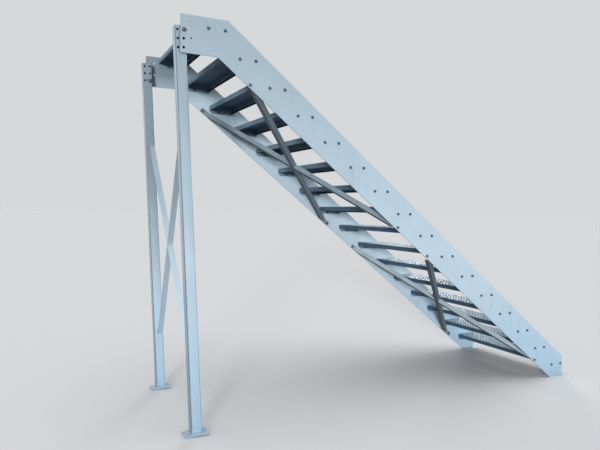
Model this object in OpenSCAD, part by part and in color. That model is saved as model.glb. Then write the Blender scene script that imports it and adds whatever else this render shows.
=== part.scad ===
// Free-standing steel stair flight: two cranked plate stringers, bolted perforated
// treads, a pair of leaning box-section legs at the head and angle-iron cross braces.
// +X runs from the legs down to the foot, +Z is up. Left and right are those of
// someone who climbs the flight, so the left stringer is on the -Y side.

/* [Flight] */
// Rise from one tread to the next
step_height = 180; // [160:1:200]
// Going from one tread to the next
going = 230; // [215:1:260]
// Rows of tread holes in each stringer
hole_rows = 16; // [13:1:18]
// Lowest rows that carry no tread
empty_rows = 0; // [0:1:2]
// Free width between the stringer plates
clear_w = 1200; // [900:10:1400]
// Height of the lowest row of tread holes above the ground
foot_hole_z = 123; // [100:1:130]

/* [Stringers] */
// Thickness of the stringer plate
plate_t = 8; // [6:1:12]
// Depth of the stringer, square to the slope
stringer_d = 250; // [240:1:280]
// Tread holes below the upper edge, square to the slope
hole_line_drop = 144; // [130:1:150]
// Depth of the level head
head_d = 260; // [245:1:280]
// Upper edge of the head above the top row of tread holes
head_rise = 72; // [66:1:90]
// End of the head behind the top row of tread holes
head_back = 194; // [170:1:220]
// Upright front edge of the foot beyond the last tread hole
foot_front = 26; // [20:1:60]

/* [Holes] */
// Distance between the two bolts at each end of a tread
tread_bolt_pitch = 120; // [100:1:140]
// Tread bolt holes and brace bolt holes
m12_hole_d = 14; // [13:0.5:16]
// Handrail post holes
rail_hole_d = 12; // [9:0.5:14]
// Upper to lower handrail post hole
rail_pitch = 100; // [70:1:110]
// Tread rows that carry a handrail post
rail_rows = [4, 8, 12];
// Head handrail holes behind the top row of tread holes
rail_head_back = 120; // [95:1:135]
// Upper head handrail hole above the top row of tread holes
rail_head_rise = 15; // [5:1:30]

/* [Treads] */
// Depth of a tread, front to back
tread_d = 230; // [215:1:250]
// Front edge of a tread beyond its front bolt
tread_front = 25; // [20:1:40]
// Walking surface above the tread holes
tread_rise = 55; // [50:1:65]
// Sheet thickness of the folded plank
tread_sheet = 3; // [2:0.5:4]
// Height of the back fold
tread_back_h = 40; // [30:1:45]
// Height of the front fold
tread_front_h = 48; // [40:1:52]
// Lip turned inward at the foot of each fold
tread_lip = 12; // [8:1:18]
// Height of an end plate
tread_end_h = 70; // [66:1:76]
// Thickness of an end plate
tread_end_t = 4; // [3:1:6]
// Lower corner cut off at the back of an end plate
end_chamfer = 26; // [15:1:26]
// Side of the square holes along an end plate
end_slot = 10; // [6:1:12]
// Square holes along an end plate
end_slots = 6; // [3:1:6]

/* [Legs] */
// Outside of the square box section
leg_side = 76; // [70:1:90]
// Wall of the box section
leg_wall = 4; // [3:1:6]
// Top of a leg above its highest holes
leg_top = 28; // [22:1:40]
// Lean of the legs, their heads away from the flight
leg_lean = 2.85; // [0:0.05:4]
// Between the two columns of leg holes
leg_gauge = 42; // [38:1:46]
// Between the rows of leg holes
leg_pitch = 60; // [55:1:62]
// Rows of leg holes
leg_rows = 3; // [2:1:3]
// Leg bolt holes
leg_hole_d = 18; // [17:0.5:20]
// Column of holes from the end of the stringer
head_hole_edge = 24; // [20:1:30]
// Top row of leg holes below the top row of tread holes
leg_hole_drop = 33; // [25:1:40]
// Length of a base plate along the flight
base_l = 175; // [160:1:220]
// Width of a base plate
base_w = 110; // [96:1:150]
// Thickness of a base plate
base_t = 10; // [8:1:15]

/* [Leg brace] */
// Side of the angle
leg_bar_side = 45; // [30:1:50]
// Thickness of the angle
leg_bar_t = 4; // [3:0.5:6]
// Back of the angle inward from the face of the legs that is next to the flight
leg_brace_set = 7; // [0:1:12]
// Upper ends of the brace below the highest leg holes
leg_brace_drop = 673; // [500:1:900]
// Lower ends of the brace above the soles of the legs
leg_brace_foot = 487; // [350:1:700]

/* [Flight braces] */
// Side of the angle
bar_side = 40; // [38:1:45]
// Thickness of the angle
bar_t = 4; // [3:0.5:5]
// Brace bolts above the lower edge of the stringer, square to it
brace_edge = 18; // [16:1:20]
// First brace bolt along the flight from the top row of tread holes
brace_start = 309; // [300:1:320]
// Last brace bolt along the flight before the lowest row of tread holes
brace_end = 234; // [228:1:245]
// Between the two bays, along the flight
brace_gap = 307; // [300:1:315]
// Bend of a bar before its bolt, along the slope
bend_reach = 40; // [36:1:45]
// End of a bar beyond its bolt, along the slope
bar_end = 18; // [16:1:24]

/* [Foot flanges] */
// Length along the flight
flange_l = 200; // [190:1:240]
// Width, inward from the stringer
flange_w = 60; // [50:1:100]
// Thickness
flange_t = 8; // [6:1:12]
// Front edge of the flange beyond the front edge of the foot
flange_toe = 26; // [0:1:40]

/* [Bolts] */
// Leg bolt
leg_bolt_d = 16; // [14:1:16]
// Across the flats of its head and nut
leg_bolt_af = 24; // [22:1:27]
// Height of its head
leg_bolt_head = 10; // [8:1:12]
// Height of its nut
leg_bolt_nut = 13; // [10:1:16]
// Diameter of its washers
leg_washer_d = 30; // [28:1:34]
// Thickness of its washers
leg_washer_t = 3; // [2:0.5:4]
// Thread that shows past the nut
leg_bolt_tip = 6; // [3:1:10]

/* [Hidden] */
$fn = 48;
seat_gap = 0.3;
cut = 1;
tread_count = hole_rows - empty_rows;
half_clear = clear_w / 2;
tread_back = tread_d - tread_bolt_pitch - tread_front;
slope = atan(step_height / going);
edge_above = hole_line_drop / cos(slope);
edge_below = (stringer_d - hole_line_drop) / cos(slope);

// legs: the left one hangs on its highest bolt, the right one on its lowest
leg_hole_x = head_hole_edge - head_back;
leg_pivot_row = [1, leg_rows];
leg_half = (leg_gauge + leg_side) / 2;
head_left = leg_hole_x - leg_half * cos(leg_lean)
    - ((leg_rows - 1) * leg_pitch + leg_top) * sin(leg_lean);

// the top row of tread holes, with the origin under the middle of the stair
foot_x = (hole_rows - 1) * going + tread_bolt_pitch + foot_front;
top_x = -(min(head_left, -head_back) + foot_x + flange_toe) / 2;
top_z = foot_hole_z + (hole_rows - 1) * step_height;

steel_white = [0.80, 0.85, 0.88];
galvanised = [0.60, 0.64, 0.67];
zinc = [0.72, 0.74, 0.76];

function tread_name(i) = str("tread_", i < 10 ? "0" : "", i);

// height of the line of tread holes at a distance along the flight
function hole_line(dx) = top_z - dx * step_height / going;

// a hole across the flight, at a distance along it and a height
module cross_hole(dx, z, d) {
    translate([top_x + dx, 0, z]) rotate([90, 0, 0])
        cylinder(h = clear_w + 4 * plate_t, d = d, center = true);
}

module stringer_outline() {
    head_z = top_z + head_rise;
    polygon([
        [-head_back, head_z],
        [(edge_above - head_rise) * going / step_height, head_z],
        [foot_x, hole_line(foot_x) + edge_above],
        [foot_x, 0],
        [(top_z - edge_below) * going / step_height, 0],
        [(head_d - head_rise - edge_below) * going / step_height, head_z - head_d],
        [-head_back, head_z - head_d]
    ]);
}

brace_bay = ((hole_rows - 1) * going - brace_start - brace_gap - brace_end) / 2;
function brace_bolts() = [
    brace_start,
    brace_start + brace_bay,
    brace_start + brace_bay + brace_gap,
    brace_start + 2 * brace_bay + brace_gap
];
brace_drop = edge_below - brace_edge / cos(slope);

module stringer_holes() {
    for (i = [0:hole_rows - 1], x = [0, tread_bolt_pitch])
        cross_hole(i * going + x, hole_line(i * going), m12_hole_d);
    for (i = rail_rows)
        cross_hole((i - 1) * going + tread_bolt_pitch, hole_line((i - 1) * going) - rail_pitch,
            rail_hole_d);
    for (z = [0, rail_pitch])
        cross_hole(-rail_head_back, top_z + rail_head_rise - z, rail_hole_d);
    for (i = [0:leg_rows - 1])
        cross_hole(leg_hole_x, top_z - leg_hole_drop - i * leg_pitch, leg_hole_d);
    for (x = brace_bolts())
        cross_hole(x, hole_line(x) - brace_drop, m12_hole_d);
}

module stringer(side) {
    color(steel_white) difference() {
        translate([top_x, side * (half_clear + plate_t / 2), 0]) rotate([90, 0, 0])
            linear_extrude(plate_t, center = true) stringer_outline();
        stringer_holes();
    }
}

module foot_flange(side) {
    color(steel_white) translate([
        top_x + foot_x + flange_toe - flange_l / 2,
        side * (half_clear - flange_w / 2),
        flange_t / 2
    ]) cube([flange_l, flange_w, flange_t], center = true);
}

// the folded plank seen from its end, its walking surface at height 0
module plank_section() {
    back = -tread_back;
    front = tread_bolt_pitch + tread_front;
    polygon([
        [back, 0], [front, 0],
        [front, -tread_front_h], [front - tread_lip, -tread_front_h],
        [front - tread_lip, tread_sheet - tread_front_h],
        [front - tread_sheet, tread_sheet - tread_front_h],
        [front - tread_sheet, -tread_sheet], [back + tread_sheet, -tread_sheet],
        [back + tread_sheet, tread_sheet - tread_back_h],
        [back + tread_lip, tread_sheet - tread_back_h],
        [back + tread_lip, -tread_back_h], [back, -tread_back_h]
    ]);
}

module end_plate() {
    slot_pitch = tread_bolt_pitch / 4;
    slot_z = tread_end_t + 2 * end_slot;
    difference() {
        translate([tread_d / 2 - tread_back, 0, -tread_end_h / 2])
            cube([tread_d, tread_end_t, tread_end_h], center = true);
        translate([-tread_back, 0, -tread_end_h]) rotate([0, 45, 0])
            cube([end_chamfer * sqrt(2), tread_end_t + cut, end_chamfer * sqrt(2)], center = true);
        for (x = [0, tread_bolt_pitch])
            translate([x, 0, -tread_rise]) rotate([90, 0, 0])
                cylinder(h = tread_end_t + cut, d = m12_hole_d, center = true);
        for (i = [0:end_slots - 1])
            translate([(i - 1.5) * slot_pitch, 0, slot_z - tread_end_h])
                cube([end_slot, tread_end_t + cut, end_slot], center = true);
    }
}

module tread(i) {
    end_y = half_clear - seat_gap - tread_end_t / 2;
    color(galvanised)
        translate([top_x + (i - 1) * going, 0, hole_line((i - 1) * going) + tread_rise]) {
            rotate([90, 0, 0])
                linear_extrude(2 * end_y, center = true) plank_section();
            for (side = [-1, 1])
                translate([0, side * end_y, 0]) end_plate();
        }
}

// places its children in a leg's own frame: the origin is on the highest hole of the
// column that the stringer shares, and Z runs up the leg
module at_leg(pivot_row) {
    down = (pivot_row - 1) * leg_pitch;
    translate([top_x + leg_hole_x, 0, top_z - leg_hole_drop - down])
        rotate([0, -leg_lean, 0]) translate([0, 0, down]) children();
}

// sole of a leg below its highest holes, with the back edge of its base plate on the ground
function sole_drop(pivot_row) =
    let (down = (pivot_row - 1) * leg_pitch)
    down + (top_z - leg_hole_drop - down - (leg_gauge + base_l) / 2 * sin(leg_lean)) / cos(leg_lean);

module leg(side, pivot_row) {
    bottom = base_t - sole_drop(pivot_row);
    mid_z = (leg_top + bottom) / 2;
    color(steel_white) at_leg(pivot_row) translate([-leg_gauge / 2, 0, 0])
        difference() {
            translate([0, side * (half_clear - leg_side / 2), mid_z]) difference() {
                cube([leg_side, leg_side, leg_top - bottom], center = true);
                cube([leg_side - 2 * leg_wall, leg_side - 2 * leg_wall, leg_top - bottom + cut],
                    center = true);
            }
            for (x = [-1, 1], i = [0:leg_rows - 1])
                translate([x * leg_gauge / 2, 0, -i * leg_pitch]) rotate([90, 0, 0])
                    cylinder(h = clear_w + cut, d = leg_hole_d, center = true);
        }
}

module base_plate(side, pivot_row) {
    color(steel_white) at_leg(pivot_row) translate([
        -leg_gauge / 2,
        side * (half_clear - leg_side / 2),
        base_t / 2 - sole_drop(pivot_row)
    ]) cube([base_l, base_w, base_t], center = true);
}

// an angle along X with its corner on the axis, one leg along Y and one along Z
module angle_bar(length, side, t) {
    rotate([90, 0, 90]) linear_extrude(length, center = true)
        polygon([[0, 0], [side, 0], [side, t], [t, t], [t, side], [0, side]]);
}

// the brace lies in the plane of the legs, midway between the two pivots
leg_inner = half_clear - leg_side;
leg_sole = sole_drop(1);
brace_high = -leg_brace_drop;
brace_low = leg_brace_foot - leg_sole;
brace_mid = (brace_high + brace_low) / 2;
brace_steep = atan((brace_high - brace_low) / (2 * leg_inner));
reach = 2 * leg_inner / cos(brace_steep) + 4 * leg_bar_side;
leg_brace_x = leg_side / 2 - leg_brace_set;

module at_brace_middle() {
    between = (leg_rows - 1) * leg_pitch * sin(leg_lean) / 2;
    translate([-between, 0, 0]) at_leg(1) translate([-leg_gauge / 2, 0, brace_mid]) children();
}

// a bar that rises to the right at a positive angle and to the left at a negative one;
// one leg of the angle lies along X, the other stands on its edge next to the flight
module leg_brace_bar(steep) {
    rises = steep > 0;
    translate([leg_brace_x, 0, 0]) rotate([steep, 0, 0])
        rotate([rises ? 180 : 0, 0, rises ? -90 : 90]) angle_bar(reach, leg_bar_side, leg_bar_t);
}

module between_legs() {
    cube([4 * leg_bar_side, 2 * leg_inner, 2 * leg_sole], center = true);
}

module leg_brace_through() {
    color(steel_white) at_brace_middle() intersection() {
        leg_brace_bar(brace_steep);
        between_legs();
    }
}

// the other bar is welded to the through bar in two halves
module leg_brace_upper() {
    color(steel_white) at_brace_middle() intersection() {
        leg_brace_bar(-brace_steep);
        between_legs();
        rotate([brace_steep, 0, 0]) translate([-reach, -reach, 0]) cube(2 * reach);
    }
}

module leg_brace_lower() {
    color(steel_white) at_brace_middle() intersection() {
        leg_brace_bar(-brace_steep);
        between_legs();
        rotate([brace_steep, 0, 0]) difference() {
            translate([-reach, -reach, -leg_bar_t - 2 * reach]) cube(2 * reach);
            translate([leg_brace_x - leg_bar_t - seat_gap, -reach, -leg_bar_side - seat_gap])
                cube([leg_bar_side, 2 * reach, leg_bar_side + cut]);
        }
    }
}

bay_l = brace_bay / cos(slope);
bar_l = bay_l - 2 * bend_reach;
bar_turn = atan(clear_w / bar_l);

// the frame of a bay: X down the slope, Z square to it, origin between its four bolts
module at_bay(bay) {
    mid = (brace_bolts()[2 * bay] + brace_bolts()[2 * bay + 1]) / 2;
    translate([top_x + mid, 0, hole_line(mid) - brace_drop]) rotate([0, slope, 0]) children();
}

// a bar from stringer to stringer: one leg of its angle is flush with the lower edges of
// the stringers, and the other stands on it
module brace_bar(turn) {
    intersection() {
        translate([0, 0, -brace_edge]) rotate([0, 0, turn])
            angle_bar(bay_l + clear_w, bar_side, bar_t);
        cube([bar_l, clear_w - 2 * bar_t, 2 * bar_side], center = true);
    }
}

// the upright leg runs on past the bend, flat against the stringer
module bar_tab(side, along) {
    inner = bar_l / 2 - bar_t / sin(bar_turn);
    outer = bay_l / 2 + bar_end;
    difference() {
        translate([along * (inner + outer) / 2, side * (half_clear - bar_t / 2),
            bar_side / 2 - brace_edge])
            cube([outer - inner, bar_t, bar_side], center = true);
        translate([along * bay_l / 2, 0, 0]) rotate([90, 0, 0])
            cylinder(h = clear_w + cut, d = m12_hole_d, center = true);
    }
}

module brace_through(bay) {
    color(galvanised) at_bay(bay) {
        brace_bar(bar_turn);
        bar_tab(-1, -1);
        bar_tab(1, 1);
    }
}

// the other bar is welded to the through bar in two halves
module brace_upper(bay) {
    color(galvanised) at_bay(bay) {
        difference() {
            brace_bar(-bar_turn);
            rotate([0, 0, bar_turn]) {
                translate([-bay_l, bar_t - 2 * clear_w, -bar_side])
                    cube([2 * bay_l, 2 * clear_w, 2 * bar_side]);
                translate([-bay_l, -clear_w, -bar_side])
                    cube([2 * bay_l, clear_w + bar_side + seat_gap,
                        bar_side - brace_edge + bar_t + seat_gap]);
            }
        }
        bar_tab(1, -1);
    }
}

module brace_lower(bay) {
    color(galvanised) at_bay(bay) {
        difference() {
            brace_bar(-bar_turn);
            rotate([0, 0, bar_turn]) translate([-bay_l, 0, -bar_side])
                cube([2 * bay_l, 2 * clear_w, 2 * bar_side]);
        }
        bar_tab(-1, 1);
    }
}

module leg_bolt(side, row) {
    outer = half_clear + plate_t;
    color(zinc) translate([top_x + leg_hole_x, side * outer, top_z - leg_hole_drop - (row - 1) * leg_pitch])
        rotate([-90 * side, 0, 0]) {
            grip = plate_t + leg_side;
            cylinder(h = leg_washer_t, d = leg_washer_d);
            translate([0, 0, leg_washer_t])
                cylinder(h = leg_bolt_head, d = leg_bolt_af / cos(30), $fn = 6);
            translate([0, 0, -grip - leg_washer_t - leg_bolt_nut - leg_bolt_tip])
                cylinder(h = grip + 2 * leg_washer_t + leg_bolt_nut + leg_bolt_tip, d = leg_bolt_d);
            translate([0, 0, -grip - leg_washer_t]) cylinder(h = leg_washer_t, d = leg_washer_d);
            translate([0, 0, -grip - leg_washer_t - leg_bolt_nut])
                cylinder(h = leg_bolt_nut, d = leg_bolt_af / cos(30), $fn = 6);
        }
}

stringer(-1);  // stringer_left
stringer(1);  // stringer_right
foot_flange(-1);  // foot_flange_left
foot_flange(1);  // foot_flange_right
for (i = [1:tread_count])
    tread(i);
leg(-1, leg_pivot_row[0]);  // leg_left
leg(1, leg_pivot_row[1]);  // leg_right
base_plate(-1, leg_pivot_row[0]);  // base_plate_left
base_plate(1, leg_pivot_row[1]);  // base_plate_right
leg_brace_through();
leg_brace_upper();
leg_brace_lower();
brace_through(0);  // brace_1_through
brace_upper(0);  // brace_1_upper
brace_lower(0);  // brace_1_lower
brace_through(1);  // brace_2_through
brace_upper(1);  // brace_2_upper
brace_lower(1);  // brace_2_lower
leg_bolt(-1, leg_pivot_row[0]);  // leg_bolt_left
leg_bolt(1, leg_pivot_row[1]);  // leg_bolt_right
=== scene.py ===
import math
import random

import bmesh
import bpy
from mathutils import Matrix, Vector


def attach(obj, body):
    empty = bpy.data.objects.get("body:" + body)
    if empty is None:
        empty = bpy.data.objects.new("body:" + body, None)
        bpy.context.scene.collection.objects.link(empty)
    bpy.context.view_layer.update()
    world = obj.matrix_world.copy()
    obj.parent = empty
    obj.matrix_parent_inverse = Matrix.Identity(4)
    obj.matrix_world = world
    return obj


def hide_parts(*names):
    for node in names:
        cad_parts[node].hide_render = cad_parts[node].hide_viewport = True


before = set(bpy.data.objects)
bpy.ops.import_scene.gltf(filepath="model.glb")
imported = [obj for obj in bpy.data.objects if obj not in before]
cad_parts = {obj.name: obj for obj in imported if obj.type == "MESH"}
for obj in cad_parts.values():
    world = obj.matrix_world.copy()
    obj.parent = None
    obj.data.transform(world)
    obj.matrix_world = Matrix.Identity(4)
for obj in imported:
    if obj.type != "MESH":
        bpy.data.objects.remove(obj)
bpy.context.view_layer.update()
print("frame loaded:", len(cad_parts), "nodes")

scene = bpy.context.scene
dice = random.Random(11)      # how each bolt head and nut is turned

# main sizes of the stair, in metres, the same as in its source
stair = {
    "rise": 0.180, "going": 0.230, "treads": 16,
    "halfClear": 0.600, "plate": 0.008, "boltPitch": 0.120, "seatGap": 0.0003,
    "holeLineDrop": 0.144, "stringerDepth": 0.250,
}
slope = math.atan(stair["rise"] / stair["going"])


def holeLine(dx):
    # height of the rear bolt holes' line, dx down the flight from the top one
    return topZ - dx * stair["rise"] / stair["going"]


# camera at the photograph's viewing angle
cameraSet = {
    "place": (-2.8159, -4.3820, 1.5978), "turn": (88.3078, -0.8242, -25.9950),      # degrees
    "lens": 33.688, "sensor": 36.0, "nearest": 0.05, "farthest": 200,
}


def makeCamera(c):
    data = bpy.data.cameras.new("camera")
    data.sensor_fit, data.sensor_width, data.lens = "HORIZONTAL", c["sensor"], c["lens"]
    data.clip_start, data.clip_end = c["nearest"], c["farthest"]
    obj = bpy.data.objects.new("camera", data)
    scene.collection.objects.link(obj)
    obj.location = c["place"]
    obj.rotation_euler = [math.radians(a) for a in c["turn"]]
    scene.camera = obj


makeCamera(cameraSet)
print("camera made")


# node helpers
def addNode(tree, kind, at=(0, 0), **values):
    node = tree.nodes.new(kind)
    node.location = at
    for key, value in values.items():
        setattr(node, key, value)
    return node


def feed(socket, value):
    # another node's output is linked; a number, a colour or a vector is set
    if isinstance(value, bpy.types.NodeSocket):
        socket.id_data.links.new(value, socket)
    elif socket.type == "RGBA":
        socket.default_value = (*value, 1)
    else:
        socket.default_value = value


def newGroup(name, inputs, outputs):
    # inputs are names with their usual values; every socket is a number
    tree = bpy.data.node_groups.new(name, "ShaderNodeTree")
    for label, value in inputs.items():
        sock = tree.interface.new_socket(name=label, in_out="INPUT", socket_type="NodeSocketFloat")
        sock.default_value = value
    for label in outputs:
        tree.interface.new_socket(name=label, in_out="OUTPUT", socket_type="NodeSocketFloat")
    start, end = addNode(tree, "NodeGroupInput", (-900, 0)), addNode(tree, "NodeGroupOutput", (700, 0))
    return tree, start.outputs, end.inputs


def mathNode(tree, operation, a, b=None, at=(0, 0), clamp=False):
    node = addNode(tree, "ShaderNodeMath", at, operation=operation, use_clamp=clamp)
    for k, value in enumerate((a, b)):
        if value is not None:
            feed(node.inputs[k], value)
    return node.outputs[0]


def surface(tree, at=(0, 0)):
    # the place and the direction of the surface at each point
    return addNode(tree, "ShaderNodeNewGeometry", at).outputs


def axes(tree, vector, at=(0, 0)):
    # the X, Y and Z of a place or a direction
    node = addNode(tree, "ShaderNodeSeparateXYZ", at)
    feed(node.inputs[0], vector)
    return node.outputs


def portion(tree, mask, amount, at=(0, 0)):
    # a share of a mask
    return mathNode(tree, "MULTIPLY", mask, amount, at)


def mapRange(tree, value, low, high, at=(0, 0), outLow=0.0, outHigh=1.0):
    node = addNode(tree, "ShaderNodeMapRange", at)
    feed(node.inputs["Value"], value)
    for label, limit in (("From Min", low), ("From Max", high), ("To Min", outLow), ("To Max", outHigh)):
        feed(node.inputs[label], limit)
    return node.outputs[0]


def mixColour(tree, factor, a, b, at=(0, 0)):
    node = addNode(tree, "ShaderNodeMix", at, data_type="RGBA")
    feed(node.inputs["Factor"], factor)
    for socket, value in zip([s for s in node.inputs if s.type == "RGBA"], (a, b)):
        feed(socket, value)
    return [s for s in node.outputs if s.type == "RGBA"][0]


def noise(tree, where, scale, detail=3.0, rough=0.5, at=(0, 0), stretch=None):
    if stretch:
        turn = addNode(tree, "ShaderNodeMapping", (at[0] - 180, at[1]))
        feed(turn.inputs["Scale"], stretch)
        feed(turn.inputs["Vector"], where)
        where = turn.outputs[0]
    node = addNode(tree, "ShaderNodeTexNoise", at)
    for label, value in (("Vector", where), ("Scale", scale), ("Detail", detail), ("Roughness", rough)):
        feed(node.inputs[label], value)
    return node.outputs["Fac"]


# shared effects
def makeEdgeWear():
    # 1 where an edge has been knocked, 0 on the flats
    tree, start, end = newGroup("edgeWear", {"Radius": 0.003, "Amount": 0.5, "Break": 60.0}, ("Mask",))
    place = surface(tree, (-900, 300))
    where, normal = place["Position"], place["Normal"]
    soft = addNode(tree, "ShaderNodeBevel", (-700, 200), samples=4)
    feed(soft.inputs["Radius"], start["Radius"])
    dot = addNode(tree, "ShaderNodeVectorMath", (-500, 200), operation="DOT_PRODUCT")
    feed(dot.inputs[0], soft.outputs[0])
    feed(dot.inputs[1], normal)
    bend = mathNode(tree, "SUBTRACT", 1.0, dot.outputs["Value"], (-320, 200))
    edge = mapRange(tree, bend, 0.02, 0.25, (-150, 200))
    broken = noise(tree, where, start["Break"], 4.0, 0.62, (-500, -100))
    share = portion(tree, start["Amount"], 0.4, (-500, -300))
    limit = mathNode(tree, "SUBTRACT", 0.78, share, (-320, -300))
    chip = mapRange(tree, broken, limit, mathNode(tree, "ADD", limit, 0.06, (-320, -420)), (-150, -100))
    feed(end["Mask"], mathNode(tree, "MULTIPLY", edge, chip, (100, 100), True))
    return tree


def makeGrime():
    # soft dust, runs down the upright faces, and splashes near the ground
    tree, start, end = newGroup("grime", {
        "Patches": 2.2, "Runs": 0.5, "Splash Height": 0.35,
    }, ("Dust", "Runs", "Splash"))
    where = surface(tree, (-900, 300))["Position"]
    wide = noise(tree, where, start["Patches"], 6.0, 0.6, (-600, 300))
    feed(end["Dust"], mapRange(tree, wide, 0.42, 0.72, (-350, 300)))
    run = noise(tree, where, 26.0, 3.0, 0.55, (-600, 0), stretch=(1.0, 1.0, 0.05))
    patchy = noise(tree, where, 3.1, 2.0, 0.5, (-600, -160))
    runs = mathNode(tree, "MULTIPLY", mapRange(tree, run, 0.53, 0.72, (-350, 0)),
                    mapRange(tree, patchy, 0.40, 0.62, (-350, -160)), (-150, -60))
    feed(end["Runs"], mathNode(tree, "MULTIPLY", runs, start["Runs"], (50, -60), True))
    spot = axes(tree, where, (-600, -400))
    low = mapRange(tree, spot["Z"], start["Splash Height"], 0.0, (-350, -400))
    spots = noise(tree, where, 55.0, 5.0, 0.65, (-600, -600))
    near = mathNode(tree, "MULTIPLY", mathNode(tree, "POWER", low, 1.6, (-150, -400)),
                    mapRange(tree, spots, 0.40, 0.66, (-350, -600)), (50, -400), True)
    feed(end["Splash"], near)
    return tree


def makeScuffs():
    # thin scratches and rubbed marks
    tree, start, end = newGroup("scuffs", {"Size": 14.0, "Amount": 0.5}, ("Mask",))
    where = surface(tree, (-900, 300))["Position"]
    lines = None
    for k, tilt in enumerate(((0.4, 0.9, 0.2), (1.1, 0.3, 2.0))):
        turn = addNode(tree, "ShaderNodeMapping", (-700, 300 - 320 * k))
        feed(turn.inputs["Rotation"], tilt)
        feed(turn.inputs["Scale"], (1.0, 14.0, 14.0))
        feed(turn.inputs["Vector"], where)
        thin = noise(tree, turn.outputs[0], start["Size"], 2.0, 0.4, (-500, 300 - 320 * k))
        thin = mapRange(tree, thin, 0.705, 0.74, (-300, 300 - 320 * k))
        lines = thin if lines is None else mathNode(tree, "MAXIMUM", lines, thin, (-100, 200))
    patchy = noise(tree, where, 2.7, 3.0, 0.5, (-500, -400))
    some = mathNode(tree, "MULTIPLY", lines, mapRange(tree, patchy, 0.45, 0.60, (-300, -400)), (100, 100))
    feed(end["Mask"], mathNode(tree, "MULTIPLY", some, start["Amount"], (300, 100), True))
    return tree


def makeSpangle():
    # the crystals of hot-dip zinc: a tone and a height for each
    tree, start, end = newGroup("spangle", {"Size": 110.0, "Contrast": 0.5}, ("Tone", "Height"))
    where = surface(tree, (-900, 300))["Position"]
    bend = noise(tree, where, 40.0, 2.0, 0.5, (-700, 100))
    shift = addNode(tree, "ShaderNodeVectorMath", (-500, 250), operation="MULTIPLY_ADD")
    feed(shift.inputs[0], bend)
    feed(shift.inputs[1], (0.012, 0.012, 0.012))
    feed(shift.inputs[2], where)
    cells = addNode(tree, "ShaderNodeTexVoronoi", (-300, 250))
    feed(cells.inputs["Vector"], shift.outputs[0])
    feed(cells.inputs["Scale"], start["Size"])
    apart = addNode(tree, "ShaderNodeSeparateColor", (-100, 250))
    feed(apart.inputs[0], cells.outputs["Color"])
    away = mathNode(tree, "SUBTRACT", apart.outputs[0], 0.5, (80, 250))
    feed(end["Tone"], mathNode(tree, "MULTIPLY_ADD", away, start["Contrast"], (260, 250)))
    feed(end["Height"], portion(tree, cells.outputs["Distance"], 0.5, (260, 0)))
    return tree


def makeCreviceShade():
    # 1 in holes and close beneath edges, for painted shade there
    tree, start, end = newGroup("creviceShade", {
        "Reach": 0.020, "Open": 0.86, "Shut": 0.56, "Side Faces": 1.0,
    }, ("Mask",))
    near = addNode(tree, "ShaderNodeAmbientOcclusion", (-500, 0), samples=6)
    feed(near.inputs["Distance"], start["Reach"])
    mask = mapRange(tree, near.outputs["AO"], start["Open"], start["Shut"], (-200, 0))
    # less on the faces that look along Y, where the light reaches
    normal = surface(tree, (-900, -300))["Normal"]
    look = axes(tree, normal, (-700, -300))
    across = mathNode(tree, "ABSOLUTE", look["Y"], None, (-500, -300))
    share = mapRange(tree, across, 0.4, 0.9, (-200, -300), 1.0, start["Side Faces"])
    feed(end["Mask"], mathNode(tree, "MULTIPLY", mask, share, (100, 0), True))
    return tree


def makeUndersideShade():
    # 1 on faces that look down, for painted shade there
    tree, start, end = newGroup("underside", {"Start": 0.45, "Full": 0.75}, ("Mask",))
    place = surface(tree, (-700, 0))
    where, normal = place["Position"], place["Normal"]
    look = axes(tree, normal, (-500, 0))
    down = portion(tree, look["Z"], -1.0, (-300, 0))
    patch = noise(tree, where, 9.0, 4.0, 0.6, (-500, -250))
    down = mathNode(tree, "ADD", down, mapRange(tree, patch, 0.3, 0.7, (-300, -250), -0.08, 0.08), (-100, 0))
    mask = mapRange(tree, down, start["Start"], start["Full"], (200, 0))
    feed(end["Mask"], mask)
    return tree


def makeInsideFaceShade():
    # 1 on the faces that look in beneath the treads, more of it towards the head: a mask for painted shade
    tree, start, end = newGroup("insideFaceShade", {
        "Foot": 0.3, "Knee": 1.0, "Flight": 0.05, "Neck": 2.52, "Head": 2.75,
    }, ("Mask", "Inward"))
    place = surface(tree, (-1100, 0))
    where, normal = place["Position"], place["Normal"]
    spot = axes(tree, where, (-900, 100))
    look = axes(tree, normal, (-900, -100))
    side = mathNode(tree, "SIGN", spot["Y"], None, (-700, 100))
    outward = portion(tree, side, look["Y"], (-500, 0))
    inward = portion(tree, outward, -1.0, (-300, 0))
    inward = mapRange(tree, inward, 0.4, 0.9, (-100, 0))
    feed(end["Inward"], inward)
    low = mapRange(tree, spot["Z"], start["Foot"], start["Knee"], (-500, 300), 0.0, start["Flight"])
    rest = mathNode(tree, "SUBTRACT", 1.0, start["Flight"], (-700, 500))
    high = mapRange(tree, spot["Z"], start["Neck"], start["Head"], (-500, 500), 0.0, rest)
    level = mathNode(tree, "ADD", low, high, (-300, 400))
    feed(end["Mask"], mathNode(tree, "MULTIPLY", inward, level, (100, 100), True))
    return tree


def makeRearFaceShade():
    # 1 on upright faces that look back, away from the foot, and more of it lower down: a mask for painted
    # shade
    tree, start, end = newGroup("rearFaceShade", {"Low": 1.5, "High": 2.1}, ("Mask",))
    place = surface(tree, (-900, 0))
    where, normal = place["Position"], place["Normal"]
    spot = axes(tree, where, (-700, 100))
    look = axes(tree, normal, (-700, -100))
    back = portion(tree, look["X"], -1.0, (-500, -100))
    back = mapRange(tree, back, 0.75, 0.95, (-300, -100))
    level = mapRange(tree, spot["Z"], start["High"], start["Low"], (-300, 100))
    feed(end["Mask"], mathNode(tree, "MULTIPLY", back, level, (0, 0), True))
    return tree


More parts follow.
